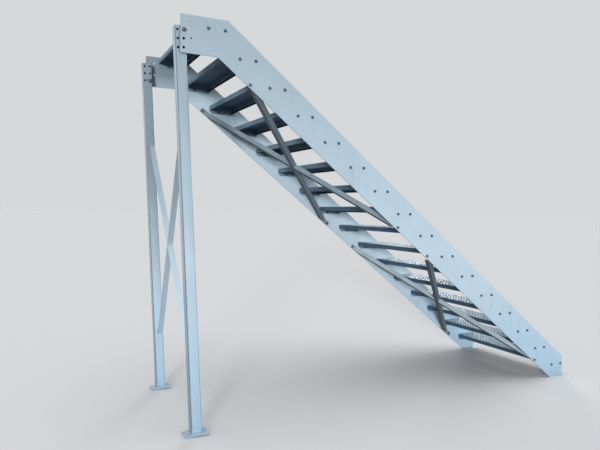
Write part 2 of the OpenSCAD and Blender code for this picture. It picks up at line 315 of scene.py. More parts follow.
def makeHeightShading():
    # how far a point is towards the foot and towards the head, for painted shade at both
    tree, start, end = newGroup("heightShading", {
        "Foot Top": 1.0, "Head Start": 1.5, "Head Full": 2.8,
    }, ("Foot", "Head"))
    where = surface(tree, (-900, 0))["Position"]
    spot = axes(tree, where, (-700, 100))
    cloud = noise(tree, where, 3.0, 3.0, 0.5, (-700, -150))
    uneven = mapRange(tree, cloud, 0.3, 0.7, (-500, -150), -0.12, 0.12)
    level = mathNode(tree, "ADD", spot["Z"], uneven, (-300, 0))
    low = mapRange(tree, level, start["Foot Top"], 0.0, (-100, 100))
    high = mapRange(tree, level, start["Head Start"], start["Head Full"], (-100, -100))
    feed(end["Foot"], low)
    feed(end["Head"], high)
    return tree


def makeBoxSideShade():
    # a box section's back face, and the rounded corners beside it, as masks for painted shade
    tree, start, end = newGroup("boxSideShade", {"Start": 0.06, "Full": 0.35}, ("Back", "Corner"))
    normal = surface(tree, (-700, 0))["Normal"]
    look = axes(tree, normal, (-500, 0))
    back = portion(tree, look["X"], -1.0, (-300, 100))
    across = mathNode(tree, "ABSOLUTE", look["Y"], None, (-300, -100))
    both = mathNode(tree, "MINIMUM", back, across, (-100, 0))
    feed(end["Back"], mapRange(tree, back, 0.75, 0.95, (100, 200)))
    corner = mapRange(tree, both, start["Start"], start["Full"], (100, 0))
    feed(end["Corner"], corner)
    return tree


edgeWear, grime, scuffs, spangle = makeEdgeWear(), makeGrime(), makeScuffs(), makeSpangle()
creviceShade, underside, insideFaceShade, rearFaceShade = makeCreviceShade(), makeUndersideShade(), makeInsideFaceShade(), makeRearFaceShade()
heightShading, boxSideShade = makeHeightShading(), makeBoxSideShade()
print("shared effects made")


# materials
def startMaterial(name):
    mat = bpy.data.materials.new(name)
    mat.use_nodes = True
    tree = mat.node_tree
    shader = tree.nodes["Principled BSDF"]
    shader.location = (500, 0)
    tree.nodes["Material Output"].location = (800, 0)
    return mat, tree, shader


def useGroup(tree, group, at=(0, 0), **values):
    node = addNode(tree, "ShaderNodeGroup", at, node_tree=group)
    for label, value in values.items():
        feed(node.inputs[label.replace("_", " ")], value)
    return node.outputs


def bump(tree, shader, height, strength, distance, at=(250, -400)):
    node = addNode(tree, "ShaderNodeBump", at)
    feed(node.inputs["Strength"], strength)
    feed(node.inputs["Distance"], distance)
    feed(node.inputs["Height"], height)
    feed(shader.inputs["Normal"], node.outputs[0])


def makePaint(name, p):
    # pale blue-grey enamel on steel
    mat, tree, shader = startMaterial(name)
    where = surface(tree, (-1300, 0))["Position"]

    dirt = useGroup(tree, grime, (-1000, 300),
                    Patches=p["patches"], Runs=p["runs"], Splash_Height=p["splash"])
    wear = useGroup(tree, edgeWear, (-1000, 0),
                    Radius=p["wearRadius"], Amount=p["wear"], Break=p["wearBreak"])
    marks = useGroup(tree, scuffs, (-1000, -200), Size=p["scuffSize"], Amount=p["scuffs"])
    cloud = noise(tree, where, p["clouds"], 4.0, 0.55, (-1000, 550))
    cloud = mapRange(tree, cloud, 0.3, 0.7, (-800, 550))
    colour = mixColour(tree, cloud, p["colour"], p["shade"], (-600, 500))
    # painted shade: bluer at the foot, and greyer at the head except on faces that look inward
    heightShade = useGroup(tree, heightShading, (-1000, 1200), Head_Start=p["headShadeStart"], Head_Full=p["headShadeFull"])
    inner = useGroup(tree, insideFaceShade, (-1000, 1050))
    inward = portion(tree, inner["Inward"], 1.0 if p["inner"] else 0.0, (-800, 1000))
    outward = mathNode(tree, "SUBTRACT", 1.0, inward, (-620, 1000))
    low = portion(tree, heightShade["Foot"], p["heightShade"], (-800, 1250))
    colour = mixColour(tree, low, colour, p["footShadeColour"], (-540, 550))
    high = portion(tree, portion(tree, heightShade["Head"], p["heightShade"], (-800, 1150)), outward, (-600, 1150))
    if p["corner"]:
        sides = useGroup(tree, boxSideShade, (-1000, 1400))
        notBack = mathNode(tree, "SUBTRACT", 1.0, sides["Back"], (-800, 1350))
        high = portion(tree, high, notBack, (-520, 1250))
    colour = mixColour(tree, high, colour, p["headShadeColour"], (-480, 600))
    # dust, runs, splashes, scratches and worn edges
    veil = portion(tree, dirt["Dust"], p["dust"], (-800, 350))
    colour = mixColour(tree, veil, colour, p["dirt"], (-400, 450))
    streak = portion(tree, dirt["Runs"], p["runTone"], (-800, 200))
    colour = mixColour(tree, streak, colour, p["dirt"], (-220, 400))
    splash = portion(tree, dirt["Splash"], p["splashTone"], (-800, 100))
    colour = mixColour(tree, splash, colour, p["mud"], (-60, 350))
    colour = mixColour(tree, marks["Mask"], colour, p["scuff"], (100, 300))
    bare = portion(tree, wear["Mask"], p["wearTone"], (-800, 0))
    colour = mixColour(tree, bare, colour, p["bare"], (260, 250))
    # painted shade: on faces that look in beneath the treads, on the legs' back faces and rounded corners, in
    # holes, close beneath edges and on faces that look down
    innerShade = portion(tree, inner["Mask"], p["inner"], (-800, 1050))
    colour = mixColour(tree, innerShade, colour, p["innerShadeColour"], (320, 450))
    if p["corner"]:
        back = useGroup(tree, rearFaceShade, (-1000, 1600), Low=p["backShadeLow"], High=p["backShadeHigh"])
        backFaceShade = portion(tree, back["Mask"], p["back"], (-800, 1600))
        colour = mixColour(tree, backFaceShade, colour, p["cornerShadeColour"], (345, 650))
        corner = portion(tree, sides["Corner"], p["corner"], (-800, 1500))
        colour = mixColour(tree, corner, colour, p["cornerShadeColour"], (345, 550))
    gap = useGroup(tree, creviceShade, (-1000, 750), Reach=p["creviceShadeReach"], Side_Faces=p["creviceShadeSides"])
    below = useGroup(tree, underside, (-1000, 900))
    paintedShadeMask = mathNode(tree, "MAXIMUM", portion(tree, gap["Mask"], p["creviceShade"], (-800, 750)),
                      portion(tree, below["Mask"], p["under"], (-800, 900)), (-600, 800))
    colour = mixColour(tree, paintedShadeMask, colour, p["creviceShadeColour"], (380, 350))
    feed(shader.inputs["Base Color"], colour)
    # gloss, duller where it is dusty or worn
    fine = noise(tree, where, p["sheen"], 3.0, 0.6, (-1000, -420))
    rough = mapRange(tree, fine, 0.3, 0.7, (-800, -420), *p["rough"])
    dusty = portion(tree, dirt["Dust"], p["dustDull"], (-620, -300))
    rubbed = portion(tree, wear["Mask"], p["wearDull"], (-620, -200))
    rough = mathNode(tree, "ADD", rough, dusty, (-400, -350))
    rough = mathNode(tree, "ADD", rough, rubbed, (-220, -300), True)
    feed(shader.inputs["Roughness"], rough)
    # orange peel, slow waves and chipped edges
    peel = noise(tree, where, p["peel"], 2.0, 0.5, (-1000, -650))
    wavy = noise(tree, where, p["waves"], 1.0, 0.5, (-1000, -850))
    peel = portion(tree, peel, p["peelHeight"], (-700, -650))
    wavy = portion(tree, wavy, p["waveHeight"], (-700, -850))
    height = mathNode(tree, "ADD", peel, wavy, (-500, -700))
    chips = portion(tree, wear["Mask"], p["chipDepth"], (-500, -550))
    height = mathNode(tree, "SUBTRACT", height, chips, (-300, -650))
    bump(tree, shader, height, p["bump"], p["bumpDepth"])
    return mat


def makeZinc(name, z):
    # hot-dip galvanised sheet or angle and other bare metal, with painted shade on faces that look down and
    # on back faces low down
    mat, tree, shader = startMaterial(name)
    where = surface(tree, (-1300, 0))["Position"]

    crystal = useGroup(tree, spangle, (-1000, 300), Size=z["crystal"], Contrast=z["contrast"])
    dirt = useGroup(tree, grime, (-1000, 0), Patches=z["patches"])
    wear = useGroup(tree, edgeWear, (-1000, -200),
                    Radius=z["wearRadius"], Amount=z["wear"], Break=z["wearBreak"])
    tone = mathNode(tree, "ADD", crystal["Tone"], 0.5, (-800, 300), True)
    colour = mixColour(tree, tone, z["dark"], z["light"], (-600, 350))
    cloud = noise(tree, where, z["clouds"], 5.0, 0.6, (-1000, 600))
    cloud = mapRange(tree, cloud, 0.45, 0.75, (-800, 600), 0.0, z["bloom"])
    colour = mixColour(tree, cloud, colour, z["bloomColour"], (-400, 400))
    veil = portion(tree, dirt["Dust"], z["dust"], (-800, 50))
    colour = mixColour(tree, veil, colour, z["dirt"], (-200, 350))
    # painted shade on faces that look down and on back faces low down
    below = useGroup(tree, underside, (-1000, 800))
    rear = useGroup(tree, rearFaceShade, (-1000, 950))
    shade = mathNode(tree, "MAXIMUM", portion(tree, below["Mask"], z["under"], (-800, 800)),
                     portion(tree, rear["Mask"], z["rear"], (-800, 950)), (-600, 850))
    colour = mixColour(tree, shade, colour, z["underColour"], (-100, 450))
    bare = portion(tree, wear["Mask"], z["wearTone"], (-800, -200))
    colour = mixColour(tree, bare, colour, z["bright"], (0, 300))
    feed(shader.inputs["Base Color"], colour)
    feed(shader.inputs["Metallic"], z["metal"])
    feed(shader.inputs["Specular IOR Level"], z["shine"])
    spread = z["roughSpread"]
    rough = mapRange(tree, crystal["Tone"], -0.3, 0.3, (-600, -200), z["rough"] - spread, z["rough"] + spread)
    dusty = portion(tree, dirt["Dust"], z["dustDull"], (-600, -350))
    rough = mathNode(tree, "ADD", rough, dusty, (-400, -250), True)
    feed(shader.inputs["Roughness"], rough)
    grain = noise(tree, where, z["grain"], 3.0, 0.6, (-1000, -500))
    grain = portion(tree, grain, z["grainHeight"], (-700, -500))
    height = mathNode(tree, "ADD", crystal["Height"], grain, (-400, -500))
    bump(tree, shader, height, z["bump"], z["bumpDepth"])
    return mat


# the foot, head, inside-face, corner and hole colours below are painted shade
paintLook = {
    "colour": (0.490, 0.612, 0.698), "shade": (0.440, 0.562, 0.650),
    "heightShade": 0.85, "footShadeColour": (0.345, 0.525, 0.690), "headShadeColour": (0.305, 0.390, 0.450),
    "headShadeStart": 1.5, "headShadeFull": 2.8,
    "patches": 2.2, "dust": 0.16, "runs": 0.45, "runTone": 0.55, "dirt": (0.27, 0.31, 0.33),
    "splash": 0.30, "splashTone": 0.5, "mud": (0.20, 0.19, 0.17),
    "scuffSize": 13.0, "scuffs": 0.5, "scuff": (0.30, 0.35, 0.39),
    "wearRadius": 0.003, "wear": 0.55, "wearBreak": 70.0, "wearTone": 0.85, "bare": (0.58, 0.66, 0.71),
    "inner": 0.0, "innerShadeColour": (0.10, 0.135, 0.165),
    "corner": 0.0, "cornerShadeColour": (0.085, 0.125, 0.155), "back": 0.5, "backShadeLow": 0.1, "backShadeHigh": 2.5,
    "under": 0.0, "creviceShadeReach": 0.020, "creviceShade": 0.95, "creviceShadeSides": 1.0,
    "creviceShadeColour": (0.006, 0.007, 0.009),
    "clouds": 1.3, "sheen": 30.0, "rough": (0.35, 0.47), "dustDull": 0.12, "wearDull": 0.2,
    "peel": 420.0, "peelHeight": 0.35, "waves": 14.0, "waveHeight": 1.2, "chipDepth": 0.5,
    "bump": 0.35, "bumpDepth": 0.0006,
}
# stringers: painted shade in their holes, on faces that look down and on faces that look in beneath the
# treads
stringerLook = dict(paintLook, creviceShadeSides=0.0, under=0.6, inner=0.8)
# welded parts: painted shade at the head, darker and starting lower down
weldedLook = dict(paintLook, creviceShade=0.4, headShadeColour=(0.215, 0.285, 0.325), headShadeStart=0.9, headShadeFull=2.1)
# legs: painted shade on the rounded corners, low on the back faces and at the head, darker on the far leg
nearLegLook = dict(paintLook, corner=0.9, headShadeColour=(0.230, 0.302, 0.352), headShadeStart=1.2)
farLegShadedLook = dict(nearLegLook, headShadeColour=(0.150, 0.196, 0.230), headShadeStart=0.8, headShadeFull=2.0)
stringerPaint = makePaint("stringerEnamel", stringerLook)
weldedPaint = makePaint("weldedEnamel", weldedLook)
legPaint = {"left": makePaint("nearLegEnamel", nearLegLook), "right": makePaint("farLegShadedEnamel", farLegShadedLook)}

# the dark blue colour for faces that look down and for back faces low down is painted shade
treadLook = {
    "dark": (0.095, 0.150, 0.205), "light": (0.175, 0.250, 0.320), "crystal": 95.0, "contrast": 0.6,
    "bloom": 0.45, "bloomColour": (0.25, 0.32, 0.37),
    "patches": 6.0, "dust": 0.4, "dirt": (0.09, 0.11, 0.13),
    "wearRadius": 0.002, "wear": 0.6, "wearBreak": 90.0, "wearTone": 0.6, "bright": (0.42, 0.46, 0.50),
    "under": 0.85, "rear": 0.85, "underColour": (0.028, 0.074, 0.135),
    "metal": 0.12, "shine": 0.28, "clouds": 5.0, "rough": 0.46, "roughSpread": 0.06, "dustDull": 0.18,
    "grain": 300.0, "grainHeight": 0.3, "bump": 0.3, "bumpDepth": 0.0004,
}
# hole walls: a near-black copy, painted shade inside the holes
holeShadeLook = dict(
    treadLook, dark=(0.010, 0.014, 0.018), light=(0.026, 0.034, 0.042), bloomColour=(0.03, 0.035, 0.04),
    dirt=(0.010, 0.011, 0.012), bright=(0.05, 0.06, 0.07), metal=0.0, shine=0.5)
# the crowns round the holes: a lighter copy, a painted highlight
crownHighlightLook = dict(
    treadLook, dark=(0.25, 0.355, 0.44), light=(0.42, 0.545, 0.64), bloomColour=(0.50, 0.60, 0.68),
    dust=0.15, metal=0.1, shine=0.5, rough=0.42)
# brace zinc: painted shade on faces that look down
braceLook = dict(
    treadLook, dark=(0.190, 0.255, 0.295), light=(0.290, 0.368, 0.412), crystal=85.0, contrast=0.5,
    bloom=0.5, bloomColour=(0.345, 0.42, 0.455), patches=4.0, dust=0.35, dirt=(0.20, 0.22, 0.22),
    wear=0.5, bright=(0.55, 0.60, 0.64), under=0.9, rear=0.0, underColour=(0.040, 0.052, 0.062),
    metal=0.15, shine=0.5, rough=0.50)
# a darker copy of the brace zinc
dullLook = dict(
    braceLook, dark=(0.128, 0.182, 0.218), light=(0.200, 0.266, 0.308), bloomColour=(0.24, 0.30, 0.34),
    dirt=(0.10, 0.12, 0.13), underColour=(0.030, 0.046, 0.062))
# bolts: dark zinc, partly weathering and partly painted shade
boltLook = dict(
    braceLook, dark=(0.034, 0.048, 0.060), light=(0.085, 0.112, 0.135), crystal=500.0, contrast=0.6,
    bloom=0.35, bloomColour=(0.13, 0.16, 0.18), patches=9.0, dust=0.4, dirt=(0.03, 0.03, 0.03),
    wearRadius=0.001, wear=0.35, bright=(0.28, 0.31, 0.34), underColour=(0.010, 0.012, 0.014),
    metal=0.3, rough=0.36)
# washers: near black, painted shade round the bolt heads and nuts
washerShadeLook = dict(
    boltLook, dark=(0.006, 0.008, 0.010), light=(0.016, 0.020, 0.024), bloomColour=(0.030, 0.034, 0.038),
    dirt=(0.010, 0.010, 0.010), bright=(0.06, 0.07, 0.08))
# the black strip at the front fold: painted shade
frontShadeStripLook = dict(
    treadLook, dark=(0.0035, 0.0037, 0.004), light=(0.006, 0.0063, 0.0068), crystal=700.0, contrast=0.4,
    bloom=0.4, bloomColour=(0.014, 0.014, 0.013), patches=8.0, dust=0.3, dirt=(0.018, 0.017, 0.015),
    wearRadius=0.001, wear=0.2, bright=(0.03, 0.03, 0.03), under=0.0, rear=0.0,
    underColour=(0.004, 0.004, 0.004), metal=0.0, shine=0.15, rough=0.80)
insideLook = dict(
    frontShadeStripLook, dark=(0.010, 0.009, 0.008), light=(0.022, 0.018, 0.015), crystal=200.0,
    bloom=0.6, bloomColour=(0.060, 0.032, 0.018), patches=12.0, dust=0.6, dirt=(0.018, 0.014, 0.011),
    bright=(0.05, 0.045, 0.04), underColour=(0.010, 0.008, 0.007))
treadZinc = makeZinc("treadGalvanised", treadLook)
holeShadeZinc = makeZinc("treadHoleWallShade", holeShadeLook)
crownHighlightZinc = makeZinc("treadCrownHighlight", crownHighlightLook)
braceZinc = makeZinc("braceGalvanised", braceLook)
dullZinc = makeZinc("dullGalvanised", dullLook)
boltZinc = makeZinc("weatheredShadedBolt", boltLook)
washerShadeZinc = makeZinc("darkWasherShade", washerShadeLook)
frontShadeStrip = makeZinc("blackFrontShadeStrip", frontShadeStripLook)
rawInside = makeZinc("rawTubeInside", insideLook)
print("materials made")


# mesh helpers
def addPiece(name, mesh, mat, matrix=None, smooth=38):
    if not mesh.materials:
        mesh.materials.append(mat)
    for face in mesh.polygons:
        face.use_smooth = True
    mesh.set_sharp_from_angle(angle=math.radians(smooth))
    obj = bpy.data.objects.new(name, mesh)
    scene.collection.objects.link(obj)
    if matrix is not None:
        obj.matrix_world = matrix
    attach(obj, "root")
    return obj


def toMesh(name, bm, merge=0.00001):
    bmesh.ops.remove_doubles(bm, verts=bm.verts, dist=merge)
    bmesh.ops.recalc_face_normals(bm, faces=bm.faces)
    mesh = bpy.data.meshes.new(name)
    bm.to_mesh(mesh)
    bm.free()
    return mesh


def join(bm, other, matrix=Matrix()):
    # adds one bmesh to another, moved by a matrix
    verts = [bm.verts.new(matrix @ v.co) for v in other.verts]
    other.verts.index_update()
    for face in other.faces:
        bm.faces.new([verts[v.index] for v in face.verts]).material_index = face.material_index


def ringFaces(bm, a, b, index=0):
    n = len(a)
    for k in range(n):
        bm.faces.new((a[k], a[(k + 1) % n], b[(k + 1) % n], b[k])).material_index = index


def roundPath(points, radius, steps=4):
    # a path of corners with each inner corner rounded, in two dimensions
    out = [points[0]]
    for k in range(1, len(points) - 1):
        here, before, after = Vector(points[k]), Vector(points[k - 1]), Vector(points[k + 1])
        a, b = (before - here), (after - here)
        r = min(radius, a.length * 0.45, b.length * 0.45)
        a, b = a.normalized() * r, b.normalized() * r
        for s in range(steps + 1):
            t = s / steps
            out.append(tuple(here + a * (1 - t) ** 2 + b * t ** 2))
    out.append(points[-1])
    return out


def circle(radius, sides, x=0.0, z=0.0):
    turns = [2 * math.pi * k / sides for k in range(sides)]
    return [(x + radius * math.cos(t), z + radius * math.sin(t)) for t in turns]


def thicken(path, sheet):
    # the closed outline of a sheet of one thickness to the left of a path
    pts = [Vector(p) for p in path]
    inner = []
    for k, p in enumerate(pts):
        before = (p - pts[k - 1]).normalized() if k > 0 else None
        after = (pts[k + 1] - p).normalized() if k < len(pts) - 1 else None
        d1, d2 = before or after, after or before
        n1, n2 = Vector((-d1.y, d1.x)), Vector((-d2.y, d2.x))
        n = (n1 + n2).normalized()
        inner.append(p + n * sheet / max(n.dot(n1), 0.3))
    return pts + inner[::-1]


def boltHead(af, height, top=0.93, chamfer=0.55, sides=24):
    # a hexagon with its top corners turned off, on the plane z = 0
    bm = bmesh.new()
    rings = []
    for level in range(3):
        ring = []
        for k in range(sides):
            t = 2 * math.pi * k / sides
            six = af / 2 / math.cos((t + math.pi / 6) % (math.pi / 3) - math.pi / 6)
            flat = af / 2 * top
            r = flat if level == 2 else six
            z = (0, height - max(0.0, six - flat) * chamfer, height)[level]
            ring.append(bm.verts.new((r * math.cos(t), r * math.sin(t), z)))
        rings.append(ring)
    ringFaces(bm, rings[0], rings[1])
    ringFaces(bm, rings[1], rings[2])
    bm.faces.new(rings[2])
    bm.faces.new(rings[0][::-1])
    return bm


def disc(profile, sides=24):
    # a turned solid from (radius, height) pairs
    bm = bmesh.new()
    rings = [[bm.verts.new((x, y, z)) for x, y in circle(r, sides)] for r, z in profile]
    for a, b in zip(rings, rings[1:]):
        ringFaces(bm, a, b)
    bm.faces.new(rings[-1])
    bm.faces.new(rings[0][::-1])
    return bm


beadShape = {
    "section": ((-0.12, -0.12), (1.0, -0.10), (0.78, 0.42), (0.42, 0.78), (-0.10, 1.0)),
    "step": 0.0045, "ripple": 0.12, "rippleTurn": 2.1, "uneven": 0.10, "end": 0.45,
}


def weldBead(path, size, seed, closed=False):
    # a rippled fillet along a path of (point, side direction, up direction)
    shape = beadShape
    rng = random.Random(seed)
    bm = bmesh.new()
    rings, points = [], []
    count = len(path)
    for k in range(count if closed else count - 1):
        p0, s0, u0 = path[k]
        p1, s1, u1 = path[(k + 1) % count]
        parts = max(1, int((p1 - p0).length / shape["step"]))
        for j in range(parts):
            t = j / parts
            points.append((p0.lerp(p1, t), s0.lerp(s1, t).normalized(), u0.lerp(u1, t).normalized()))
    if not closed:
        points.append(path[-1])
    for k, (p, s, u) in enumerate(points):
        ripple = shape["ripple"] * math.sin(k * shape["rippleTurn"])
        grow = size * (1 + ripple + rng.uniform(-shape["uneven"], shape["uneven"]))
        if not closed and (k == 0 or k == len(points) - 1):
            grow *= shape["end"]
        rings.append([bm.verts.new(p + s * a * grow + u * b * grow) for a, b in shape["section"]])
    pairs = list(zip(rings, rings[1:])) + ([(rings[-1], rings[0])] if closed else [])
    for a, b in pairs:
        ringFaces(bm, a, b)
    if not closed:
        bm.faces.new(rings[0][::-1])
        bm.faces.new(rings[-1])
    return bm


def plateMesh(outline, holes, thickness):
    # a flat plate in XZ with holes, its faces at y = +- half the thickness
    bm = bmesh.new()
    loops = []
    for loop in [outline] + holes:
        verts = [bm.verts.new((x, -thickness / 2, z)) for x, z in loop]
        loops.append(verts)
        for k, vert in enumerate(verts):
            bm.edges.new((vert, verts[(k + 1) % len(verts)]))
    bmesh.ops.triangle_fill(bm, use_beauty=True, use_dissolve=False, edges=bm.edges[:])
    front = bm.faces[:]
    twin = {v: bm.verts.new((v.co.x, thickness / 2, v.co.z)) for v in bm.verts[:]}
    for face in front:
        bm.faces.new([twin[v] for v in reversed(face.verts)])
    for verts in loops:
        ringFaces(bm, verts, [twin[v] for v in verts])
    return bm


# treads: folded planks with rows of raised, toothed holes
treadSet = {
    "depth": 0.230, "back": 0.085, "sheet": 0.003, "rise": 0.055,      # back and rise from the rear bolt
    "backFold": 0.040, "frontFold": 0.048, "lip": 0.012, "bend": 0.005,
    "holeRows": 12, "rowPitch": 0.0179, "columns": 30, "columnPitch": 0.0389, "sides": 10,
    "holeBelow": 0.0070, "holeAbove": 0.0048, "rim": 0.0018,      # radius under the deck and at the mouth
    "crown": 0.0086, "crownHeight": 0.0034, "tooth": 0.0010,
    "endHeight": 0.070, "endThick": 0.004, "endCut": 0.026, "endRound": 0.004, "topEdge": 0.050,
    "boltHole": 0.014, "slot": 0.010, "slots": 6, "slotPitch": 0.030,
    "weld": 0.0032, "weldAlong": 0.060, "weldUp": 0.004, "weldSeed": 3,
}


def topHole(t):
    # the rear bolt hole of the top tread, from the place of its plank in the frame
    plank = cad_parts["tread_01"]
    corners = [plank.matrix_world @ Vector(c) for c in plank.bound_box]
    return min(c.x for c in corners) + t["back"], max(c.z for c in corners) - t["rise"]


topX, topZ = topHole(treadSet)


def holeCell(bm, x0, x1, y0, y1, t):
    # one cell of the deck, X along the going and Y along the tread, top at z = 0
    n = t["sides"]
    cx, cy = (x0 + x1) / 2, (y0 + y1) / 2
    rings = {}
    for key, r, z in (("below", t["holeBelow"], -t["sheet"]),
                      ("mouth", t["holeAbove"], t["crownHeight"]),
                      ("rim", t["holeAbove"] + t["rim"], t["crownHeight"]),
                      ("foot", t["crown"], 0.0)):
        ring = []
        for k in range(n):
            a = 2 * math.pi * (k + 0.5) / n
            lift = t["tooth"] * (1 if k % 2 else -0.6) if key in ("mouth", "rim") else 0
            ring.append(bm.verts.new((cx + r * math.cos(a), cy + r * math.sin(a), z + lift)))
        rings[key] = ring
    # the hole walls take the near-black painted shade, the crowns round them the painted highlight
    for inner, outer, index in (("below", "mouth", 1), ("mouth", "rim", 2), ("rim", "foot", 2)):
        ringFaces(bm, rings[inner], rings[outer], index)
    corners = [(x1, y1), (x0, y1), (x0, y0), (x1, y0)]
    for ring, z, flip in ((rings["foot"], 0.0, False), (rings["below"], -t["sheet"], True)):
        box = [bm.verts.new((x, y, z)) for x, y in corners]
        near = []
        for v in ring:
            dx, dy = v.co.x - cx, v.co.y - cy
            near.append(0 if dx >= 0 and dy >= 0 else 1 if dx < 0 and dy >= 0 else 2 if dx < 0 else 3)
        for k in range(n):
            a, b = ring[k], ring[(k + 1) % n]
            ca, cb = near[k], near[(k + 1) % n]
            face = [a, box[ca], b] if ca == cb else [a, box[ca], box[cb], b]
            bm.faces.new(face[::-1] if flip else face)


def makeTreadMesh(t):
    bm = bmesh.new()
    back, front = -t["back"], t["depth"] - t["back"]
    endY = stair["halfClear"] - stair["seatGap"]
    inY = endY - t["endThick"]
    margin = (t["depth"] - t["holeRows"] * t["rowPitch"]) / 2
    x0 = back + margin
    for row in range(t["holeRows"]):
        low, high = x0 + row * t["rowPitch"], x0 + (row + 1) * t["rowPitch"]
        count = t["columns"] - (row % 2)
        half = count * t["columnPitch"] / 2
        for k in range(count):
            y = -half + k * t["columnPitch"]
            holeCell(bm, low, high, y, y + t["columnPitch"], t)
        for side in (-1, 1):                       # the plain strip beside the end plate
            ys = sorted((side * half, side * inY))
            for z in (0.0, -t["sheet"]):
                bm.faces.new([bm.verts.new((x, y, z)) for x, y in
                              ((low, ys[0]), (high, ys[0]), (high, ys[1]), (low, ys[1]))])
    # the folds at the back and the front
    for edge, drop, way in ((back, t["backFold"], 1), (front, t["frontFold"], -1)):
        corners = [(edge + way * t["lip"], -drop), (edge, -drop), (edge, 0.0), (edge + way * margin, 0.0)]
        path = roundPath(corners, t["bend"])
        outline = thicken(path, -way * t["sheet"])
        rings = [[bm.verts.new((p[0], y, p[1])) for p in outline] for y in (-inY, inY)]
        ringFaces(bm, rings[0], rings[1])
    # end plates with their bolt holes and square holes
    low, cut, edge = -t["endHeight"], t["endCut"], t["topEdge"]
    outline = roundPath([(back + edge, 0.0), (back, 0.0), (back, low + cut), (back + cut, low), (front, low),
                         (front, 0.0), (front - edge, 0.0)], t["endRound"])
    holes = [circle(t["boltHole"] / 2, 16, x, -t["rise"]) for x in (0.0, stair["boltPitch"])]
    slotZ = t["endThick"] + 2 * t["slot"] - t["endHeight"]
    for k in range(t["slots"]):
        x, h = (back + front) / 2 + (k - (t["slots"] - 1) / 2) * t["slotPitch"], t["slot"] / 2
        holes.append([(x - h, slotZ - h), (x + h, slotZ - h), (x + h, slotZ + h), (x - h, slotZ + h)])
    plate = plateMesh(outline, holes, t["endThick"])
    for side in (-1, 1):
        join(bm, plate, Matrix.Translation((0, side * (endY - t["endThick"] / 2), 0)))
    plate.free()
    # welds between the plank and its end plates, on the underside
    for side in (-1, 1):
        y, inward = side * inY, Vector((0, -side, 0))
        path = [(Vector((back + t["sheet"], y, t["weldUp"] - t["backFold"])), inward, Vector((1, 0, 0))),
                (Vector((back + t["sheet"], y, -t["sheet"])), inward, Vector((1, 0, -1))),
                (Vector((back + t["weldAlong"], y, -t["sheet"])), inward, Vector((0, 0, -1)))]
        bead = weldBead(path, t["weld"], t["weldSeed"] + side)
        join(bm, bead)
        bead.free()
    return toMesh("treadPlank", bm, merge=0.00003)


# a black strip clipped round the front fold: painted shade beneath the fold's lip
frontShadeStripSet = {
    "below": 0.0035, "front": 0.004, "rear": 0.0015, "rearUp": 0.0025, "noseUp": 0.003, "foldUp": 0.004,
    "round": 0.001, "endGap": 0.001,
}


def makeFrontShadeStrip(t, e):
    bm = bmesh.new()
    front = t["depth"] - t["back"]
    endY = stair["halfClear"] - stair["seatGap"] - t["endThick"] - e["endGap"]
    z, nose = -t["frontFold"], front + e["front"]
    rear, base, soft = front - t["lip"], z - e["below"], e["round"]
    outline = [(rear - e["rear"], z + e["rearUp"]), (rear - e["rear"], base), (nose - soft, base),
               (nose, base + soft), (nose, z + e["noseUp"]), (front, z + e["foldUp"]), (front, z), (rear, z),
               (rear, z + e["rearUp"])]
    rings = [[bm.verts.new((x, y, height)) for x, height in outline] for y in (-endY, endY)]
    ringFaces(bm, rings[0], rings[1])
    bm.faces.new(rings[0][::-1])
    bm.faces.new(rings[1])
    return toMesh("treadEdging", bm)


treadMesh = makeTreadMesh(treadSet)
for mat in (treadZinc, holeShadeZinc, crownHighlightZinc):
    treadMesh.materials.append(mat)
frontShadeStripMesh = makeFrontShadeStrip(treadSet, frontShadeStripSet)
for i in range(1, stair["treads"] + 1):
    dx = (i - 1) * stair["going"]
    at = Matrix.Translation((topX + dx, 0, holeLine(dx) + treadSet["rise"]))
    plank = addPiece("tread%02dPlank" % i, treadMesh, treadZinc, at, smooth=35)
    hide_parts("tread_%02d" % i)
    addPiece("tread%02dEdging" % i, frontShadeStripMesh, frontShadeStrip, at)
print("treads made:", len(treadMesh.polygons), "faces each")


# legs: box section with rounded corners
legSet = {
    "side": 0.076, "wall": 0.004, "corner": 0.008, "top": 0.028, "lean": 2.85, "gauge": 0.042, "pitch": 0.060,
    "rows": 3, "hole": 0.018, "holeX": -0.170, "holeDrop": 0.033, "baseLength": 0.175, "baseThick": 0.010,
    "weld": 0.006, "weldSeed": 17,      # lean is in degrees; hole places are from the top tread's rear bolt
    "parts": (("left", -1, 1), ("right", 1, 3)),      # name, side, and the row of holes its bolt is in
}


def legFrame(row):
    # the leg's own axes: Z along the tube, origin on the line of its top holes
    g = legSet
    down = (row - 1) * g["pitch"]
    return (Matrix.Translation((topX + g["holeX"], 0, topZ - g["holeDrop"] - down))
            @ Matrix.Rotation(-math.radians(g["lean"]), 4, "Y") @ Matrix.Translation((0, 0, down)))


def soleDrop(row):
    # how far the ground is below that origin, along the tube
    g, lean = legSet, math.radians(legSet["lean"])
    down = (row - 1) * g["pitch"]
    return down + (topZ - g["holeDrop"] - down
                   - (g["gauge"] + g["baseLength"]) / 2 * math.sin(lean)) / math.cos(lean)


def tubeFrame(side, row):
    # the same on the tube's own middle line
    g = legSet
    across = side * (stair["halfClear"] - g["side"] / 2)
    return legFrame(row) @ Matrix.Translation((-g["gauge"] / 2, across, 0))


def roundSquare(half, radius, steps=6):
    out = []
    for cx, cy, start in ((1, 1, 0), (-1, 1, 90), (-1, -1, 180), (1, -1, 270)):
        for k in range(steps + 1):
            a = math.radians(start + 90 * k / steps)
            out.append((cx * (half - radius) + radius * math.cos(a),
                        cy * (half - radius) + radius * math.sin(a)))
    return out


